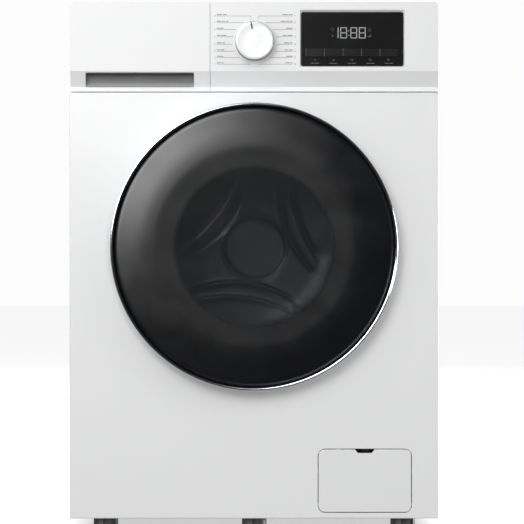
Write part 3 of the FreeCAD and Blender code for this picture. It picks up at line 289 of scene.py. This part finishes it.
# ---- pressed back of the drum ----
DRUM_TURN = -8.3
ARM_COUNT = 3
ARCS = ((250.0, 186.0, 4.2), (343.0, 252.0, 4.2))
HUB_RADIUS = 53.0
HUB_HEIGHT = 4.0
DRUM_RIM, DRUM_BACK_Y, STEEL = 234.6, 113.0, 1.4
RING_COUNT, SPOKE_COUNT = 130, 360


def smooth(value, low, high):
    """Smooth step from 0 to 1."""
    t = min(1.0, max(0.0, (value - low) / (high - low)))
    return t * t * (3 - 2 * t)


def pressing(u, w):
    """Depth towards the front of the pressed drum back, in millimetres, at (u, w) from the axis."""
    r = math.hypot(u, w)
    out = 0.0
    for centre, radius, height in ARCS:
        gap = math.inf
        for k in range(ARM_COUNT):
            a = math.radians(DRUM_TURN + 30.0 + 360.0 / ARM_COUNT * k)
            gap = min(gap, math.hypot(u - centre * math.cos(a), w - centre * math.sin(a)) - radius)
        out += height * 0.55 * smooth(gap, -5.0, 5.0) + height * math.exp(-(gap / 4.2) ** 2)
    out += HUB_HEIGHT * (1 - smooth(r, HUB_RADIUS - 4.0, HUB_RADIUS + 1.0))
    out -= 1.6 * math.exp(-((r - HUB_RADIUS - 3.5) / 2.6) ** 2)
    return out * (1 - smooth(r, 222.0, 230.0) * 0.9)


def pressed_point(bm, u, w, offset):
    """Vertex of the pressed sheet at (u, w) from the drum axis."""
    return bm.verts.new(Vector((u, DRUM_BACK_Y - pressing(u, w) + offset, w + AXIS_Z / MM)) * MM)


bm = bmesh.new()
sheets = []
for offset in (0.0, STEEL):
    rings = [[pressed_point(bm, 0, 0, offset)]]
    for i in range(1, RING_COUNT + 1):
        r = DRUM_RIM * i / RING_COUNT
        ring = []
        for k in range(SPOKE_COUNT):
            a = 2 * math.pi * k / SPOKE_COUNT
            ring.append(pressed_point(bm, r * math.cos(a), r * math.sin(a), offset))
        rings.append(ring)
    for i in range(RING_COUNT):
        for k in range(SPOKE_COUNT):
            n = (k + 1) % SPOKE_COUNT
            inner, outer = rings[i], rings[i + 1]
            corners = [inner[k % len(inner)], outer[k], outer[n], inner[n % len(inner)]]
            bm.faces.new(list(dict.fromkeys(corners)))
    sheets.append(rings[-1])
for k in range(SPOKE_COUNT):
    n = (k + 1) % SPOKE_COUNT
    bm.faces.new([sheets[0][k], sheets[0][n], sheets[1][n], sheets[1][k]])
pressed_steel = surface("pressed_steel", (0.34, 0.345, 0.36), 0.36, metal=1.0, vary=0.02)
drum_back = add("drum_back_pressed", bm, pressed_steel, "drum")
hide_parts("drum_back")

# ---- knob ----
KNOB_X, KNOB_Z = 0.7, 786.3
KNOB_SEGMENTS = 160
KNOB_SIDE = eased([(31.5, -263.4), (31.0, -264.4), (30.5, -268.0), (30.5, -274.0), (30.5, -280.0),
                   (30.4, -283.2), (30.0, -284.6), (28.9, -285.6)], 4)
KNOB_FACE = [(27.4, -286.0), (26.9, -285.5), (26.4, -285.4), (12.0, -285.7), (0.0, -285.8)]
knob = lathe("programme_knob", [(0.0, -262.6), (31.5, -262.6)] + KNOB_SIDE + KNOB_FACE,
             MATS["knob_silver"], "knob", KNOB_X, KNOB_Z, KNOB_SEGMENTS)
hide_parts("selector_knob")
BAND_OUT = eased([(31.5, -267.0), (31.4, -272.0), (31.3, -277.0), (31.2, -280.5), (31.0, -281.6),
                  (30.6, -282.0)], 4)
band_metal = surface("knob_side", (0.16, 0.16, 0.165), 0.3, metal=0.6, grain=800, depth=0.05)
lathe("knob_grip_band", [(30.6, -265.0), (31.5, -265.0)] + BAND_OUT, band_metal, "knob",
      KNOB_X, KNOB_Z, KNOB_SEGMENTS)
POINTER_TURN = math.radians(101.25)
bm = bmesh.new()
block(bm, (KNOB_X + 18.6, KNOB_X + 30.2), (-286.3, -284.0), (KNOB_Z - 1.2, KNOB_Z + 1.2),
      POINTER_TURN, (KNOB_X, 0, KNOB_Z))
add("knob_pointer", bm, PRINT_DARK, "knob", False)


# ---- finger scoop of the drawer, with painted shade inside ----
def scoop_painted_shade():
    """Liner with painted shade: grey that darkens towards the roof of the scoop, where the shadow of the
    overhang falls.
    """
    mat = surface("scoop_painted_shade_grey", (0.2, 0.2, 0.205), 0.5, vary=0.02, grain=1400, depth=0.1)
    tree = mat.node_tree
    coords = tree.nodes.new("ShaderNodeTexCoord")
    split = tree.nodes.new("ShaderNodeSeparateXYZ")
    tree.links.new(coords.outputs["Object"], split.inputs["Vector"])
    height = tree.nodes.new("ShaderNodeMapRange")
    height.inputs["From Min"].default_value = 0.7135
    height.inputs["From Max"].default_value = 0.737
    tree.links.new(split.outputs["Z"], height.inputs["Value"])
    ramp = tree.nodes.new("ShaderNodeValToRGB")
    # painted shade: grey near the lip of the scoop, nearly black under its roof
    shade_stops = ((0.0, 0.3), (0.3, 0.1), (0.75, 0.045), (1.0, 0.003))
    while len(ramp.color_ramp.elements) < len(shade_stops):
        ramp.color_ramp.elements.new(0.5)
    for element, (at, value) in zip(ramp.color_ramp.elements, shade_stops):
        element.position = at
        element.color = (value, value, value * 1.01, 1)
    tree.links.new(height.outputs["Result"], ramp.inputs["Fac"])
    tree.links.new(ramp.outputs["Color"], tree.nodes["Principled BSDF"].inputs["Base Color"])
    return mat


SCOOP_X = (-272.4, -97.4)
SCOOP_ARC = [(-244.6, 736.7), (-244.7, 730.0), (-245.0, 724.0), (-245.6, 719.0), (-246.8, 715.6),
             (-248.2, 713.8)]
SCOOP_CELLS = 24
bm = bmesh.new()
lines = []
for y, z in eased(SCOOP_ARC, 6):
    line = []
    for k in range(SCOOP_CELLS + 1):
        x = SCOOP_X[0] + (SCOOP_X[1] - SCOOP_X[0]) * k / SCOOP_CELLS
        line.append(bm.verts.new(Vector((x, y, z)) * MM))
    lines.append(line)
for a, b in zip(lines, lines[1:]):
    for k in range(SCOOP_CELLS):
        bm.faces.new([a[k], a[k + 1], b[k + 1], b[k]])
# dark sheet laid over the recess to carry the painted shade of the scoop
add("drawer_scoop_painted_shade_sheet", bm, scoop_painted_shade(), "drawer")

# ---- printed numbers, leader lines and plain bars in place of words, round the knob ----
FACE_Y = -262.0
LABEL_Z = [827.6, 816.8, 805.7, 794.2, 782.0, 770.7, 760.4, 749.9]
PRINT = (FACE_Y - 0.12, FACE_Y + 0.2)
bm = bmesh.new()
WORDS = ((9, 6), (7, 5, 4), (11,), (6, 8), (8, 4), (5, 6), (10,), (7, 3))
WORD_GAP = 1.3
LINE_STOP_R, LINE_START = 34.0, 61.0
for row, z in enumerate(LABEL_Z):
    reach = max(math.sqrt(max(LINE_STOP_R ** 2 - (z - KNOB_Z) ** 2, 0.0)), 4.0)
    for side in (-1, 1):
        outer = KNOB_X + side * LINE_START
        block(bm, (outer, KNOB_X + side * (reach + 2.0)), PRINT, (z - 0.35, z + 0.35))
        if row == 0:
            drop = KNOB_X + side * 6.0
            block(bm, (drop - 0.28, drop + 0.28), PRINT, (z - 5.4, z))
        cursor = outer
        if side > 0:
            cursor -= sum(WORDS[row]) + WORD_GAP * (len(WORDS[row]) - 1)
        for length in WORDS[row]:
            block(bm, (cursor, cursor + length), PRINT, (z + 1.5, z + 2.9))
            cursor += length + WORD_GAP
add("programme_marks", bm, PRINT_GREY, "cabinet", False)


def words(name, entries, mat, body):
    """Numbers as thin raised mesh. Each entry is (text, x, y, z, size) in millimetres."""
    bm = bmesh.new()
    for text, x, y, z, size in entries:
        curve = bpy.data.curves.new("figure", "FONT")
        curve.body = text
        curve.size = size * MM
        curve.extrude = 0.08 * MM
        curve.align_x = "CENTER"
        figure = bpy.data.objects.new("figure", curve)
        bpy.context.scene.collection.objects.link(figure)
        bpy.context.view_layer.update()
        depsgraph = bpy.context.evaluated_depsgraph_get()
        mesh = bpy.data.meshes.new_from_object(figure.evaluated_get(depsgraph))
        upright = Matrix.Rotation(math.radians(90), 4, "X")
        mesh.transform(Matrix.Translation(Vector((x, y, z)) * MM) @ upright)
        bm.from_mesh(mesh)
        bpy.data.objects.remove(figure)
        bpy.data.meshes.remove(mesh)
    return add(name, bm, mat, body, False)


numbers = []
for row, z in enumerate(LABEL_Z):
    numbers.append((str(8 - row), KNOB_X - 64.2, FACE_Y - 0.05, z - 1.0, 4.2))
    numbers.append((str(9 + row), KNOB_X + 64.6, FACE_Y - 0.05, z - 1.0, 4.2))
words("programme_numbers", numbers, PRINT_GREY, "cabinet")

# ---- display ----
GLASS_Y = -260.0
GLASS = (GLASS_Y - 0.1, GLASS_Y + 0.2)
SEGMENTS = {"1": "bc", "8": "abcdefg"}


def digit(bm, text, x, z, width, height):
    """Seven-segment figure with its lower left corner at (x, z)."""
    t = width * 0.14
    g = t * 0.18
    half = height / 2
    spots = {
        "a": ((x + t, x + width - t), (z + height - t, z + height)),
        "g": ((x + t, x + width - t), (z + half - t / 2, z + half + t / 2)),
        "d": ((x + t, x + width - t), (z, z + t)),
        "b": ((x + width - t, x + width), (z + half + g, z + height - g)),
        "c": ((x + width - t, x + width), (z + g, z + half - g)),
        "f": ((x, x + t), (z + half + g, z + height - g)),
        "e": ((x, x + t), (z + g, z + half - g)),
    }
    for name in SEGMENTS[text]:
        block(bm, spots[name][0], GLASS, spots[name][1])


bm = bmesh.new()
DIGIT_Z, DIGIT_W, DIGIT_H = 791.6, 11.0, 18.0
for text, x in (("1", 125.2), ("8", 138.9), ("8", 155.2), ("8", 169.0)):
    digit(bm, text, x, DIGIT_Z, DIGIT_W, DIGIT_H)
for z in (796.6, 804.0):
    block(bm, (151.9, 153.4), GLASS, (z - 0.9, z + 0.9))
add("display_digits", bm, LIT, "cabinet", False)


def icon(bm, kind, x, z, size):
    """Small generic pictogram: ring, clock, snowflake, bars or play mark."""
    s = size / 2
    if kind in ("ring", "clock"):
        steps = 20
        for k in range(steps):
            a = 2 * math.pi * k / steps
            c = (x + s * math.cos(a), GLASS_Y, z + s * math.sin(a))
            block(bm, (c[0] - 0.16, c[0] + 0.16), GLASS, (c[2] - s * 0.19, c[2] + s * 0.19), a, c)
        if kind == "clock":
            block(bm, (x - 0.15, x + 0.15), GLASS, (z, z + s * 0.7))
            block(bm, (x, x + s * 0.6), GLASS, (z - 0.15, z + 0.15))
    if kind == "flake":
        for k in range(3):
            block(bm, (x - s, x + s), GLASS, (z - 0.15, z + 0.15), math.pi * k / 3, (x, GLASS_Y, z))
    if kind == "bars":
        for k in range(3):
            left = x - s + k * s * 0.75
            block(bm, (left, left + s * 0.4), GLASS, (z - s, z - s + (k + 1) * s * 0.6))
    if kind == "play":
        for k in range(5):
            trim = k * s * 0.2
            block(bm, (x - s + k * s * 0.3, x - s + (k + 1) * s * 0.3), GLASS, (z - s + trim, z + s - trim))


bm = bmesh.new()
SIDE_ICONS = (("ring", 126.3, 806.4), ("flake", 126.3, 795.9), ("clock", 186.1, 805.2),
              ("bars", 186.1, 795.9))
for kind, x, z in SIDE_ICONS:
    icon(bm, kind, x, z, 4.2)
BUTTON_X0, BUTTON_PITCH = 83.1, 29.84
for k, kind in enumerate(("flake", "bars", "clock", "ring", "play")):
    x = BUTTON_X0 + BUTTON_PITCH * (k + 0.5)
    icon(bm, kind, x, 757.2, 3.6)
    for a, b in ((-6.5, -1.0), (0.2, 6.5)):
        block(bm, (x + a, x + b), GLASS, (750.9, 752.0))
add("display_icons", bm, DIM, "cabinet", False)

# ---- studio ----
scene = bpy.context.scene
scene.view_settings.view_transform = "Standard"


def panel(name, size, place, target, strength, glossy_only=False, matte_only=False):
    """Area lamp that looks at a target."""
    data = bpy.data.lights.new(name, "AREA")
    data.shape = "RECTANGLE"
    data.size, data.size_y = size
    data.energy = strength
    lamp = bpy.data.objects.new(name, data)
    scene.collection.objects.link(lamp)
    lamp.location = place
    lamp.rotation_euler = (Vector(target) - Vector(place)).to_track_quat("-Z", "Y").to_euler()
    if glossy_only:
        lamp.visible_diffuse = False
    if matte_only:
        lamp.visible_glossy = False


panel("key_front", (3.0, 3.0), (-1.0, -4.8, 3.3), (0, 0, 0.40), 60)
panel("fill_right", (2.0, 2.5), (3.4, -2.4, 2.3), (0, 0, 0.4), 30, matte_only=True)
panel("soft_left", (5.2, 5.2), (-2.9, -2.4, 3.1), (0, -0.28, 0.5), 1100, glossy_only=True)
panel("rim_right", (1.5, 1.6), (2.6, 0.5, 0.35), (0.2, -0.28, 0.45), 160, glossy_only=True)
panel("drum_glow", (0.6, 0.6), (-0.35, -1.6, 0.95), (0, 0.1, 0.4557), 5.0)
panel("rear_light", (3.0, 3.0), (1.5, 4.0, 3.0), (0, 0, 0.4), 60)

world = bpy.data.worlds.new("studio")
scene.world = world
world.use_nodes = True
tree = world.node_tree
back = tree.nodes["Background"]
path = tree.nodes.new("ShaderNodeLightPath")
WORLD_BASE, WORLD_SEEN, WORLD_GLOSSY = 0.53, 0.45, -0.49
seen = tree.nodes.new("ShaderNodeMath")
seen.operation = "MULTIPLY_ADD"
seen.inputs[1].default_value = WORLD_SEEN
seen.inputs[2].default_value = WORLD_BASE
tree.links.new(path.outputs["Is Camera Ray"], seen.inputs[0])
darker = tree.nodes.new("ShaderNodeMath")
darker.operation = "MULTIPLY_ADD"
darker.inputs[1].default_value = WORLD_GLOSSY
tree.links.new(path.outputs["Is Glossy Ray"], darker.inputs[0])
tree.links.new(seen.outputs["Value"], darker.inputs[2])
tree.links.new(darker.outputs["Value"], back.inputs["Strength"])
back.inputs["Color"].default_value = (1, 1, 1, 1)

bm = bmesh.new()
bmesh.ops.create_grid(bm, x_segments=8, y_segments=8, size=20.0)
mesh = bpy.data.meshes.new("floor")
bm.to_mesh(mesh)
bm.free()
floor = bpy.data.objects.new("floor", mesh)
pale = surface("floor_pale", (0.86, 0.86, 0.86), 0.6, vary=0.01, grain=40, depth=0.02)
pale_shader = pale.node_tree.nodes["Principled BSDF"]
pale_shader.inputs["Emission Color"].default_value = (1, 1, 1, 1)
pale_shader.inputs["Emission Strength"].default_value = 0.55
mesh.materials.append(pale)
scene.collection.objects.link(floor)
floor.location.z = -0.0005
floor.visible_diffuse = False
floor.visible_glossy = False

CAMERA_X, CAMERA_Y, CAMERA_Z = 0.01265, -4.25, 0.4309
FRAME_WIDTH = 0.845
SENSOR = 36.0
data = bpy.data.cameras.new("camera")
data.sensor_width = SENSOR
data.lens = SENSOR * (FACE_Y * MM - CAMERA_Y) / FRAME_WIDTH
camera = bpy.data.objects.new("camera", data)
scene.collection.objects.link(camera)
camera.location = (CAMERA_X, CAMERA_Y, CAMERA_Z)
camera.rotation_euler = (math.radians(90), 0, 0)
scene.camera = camera
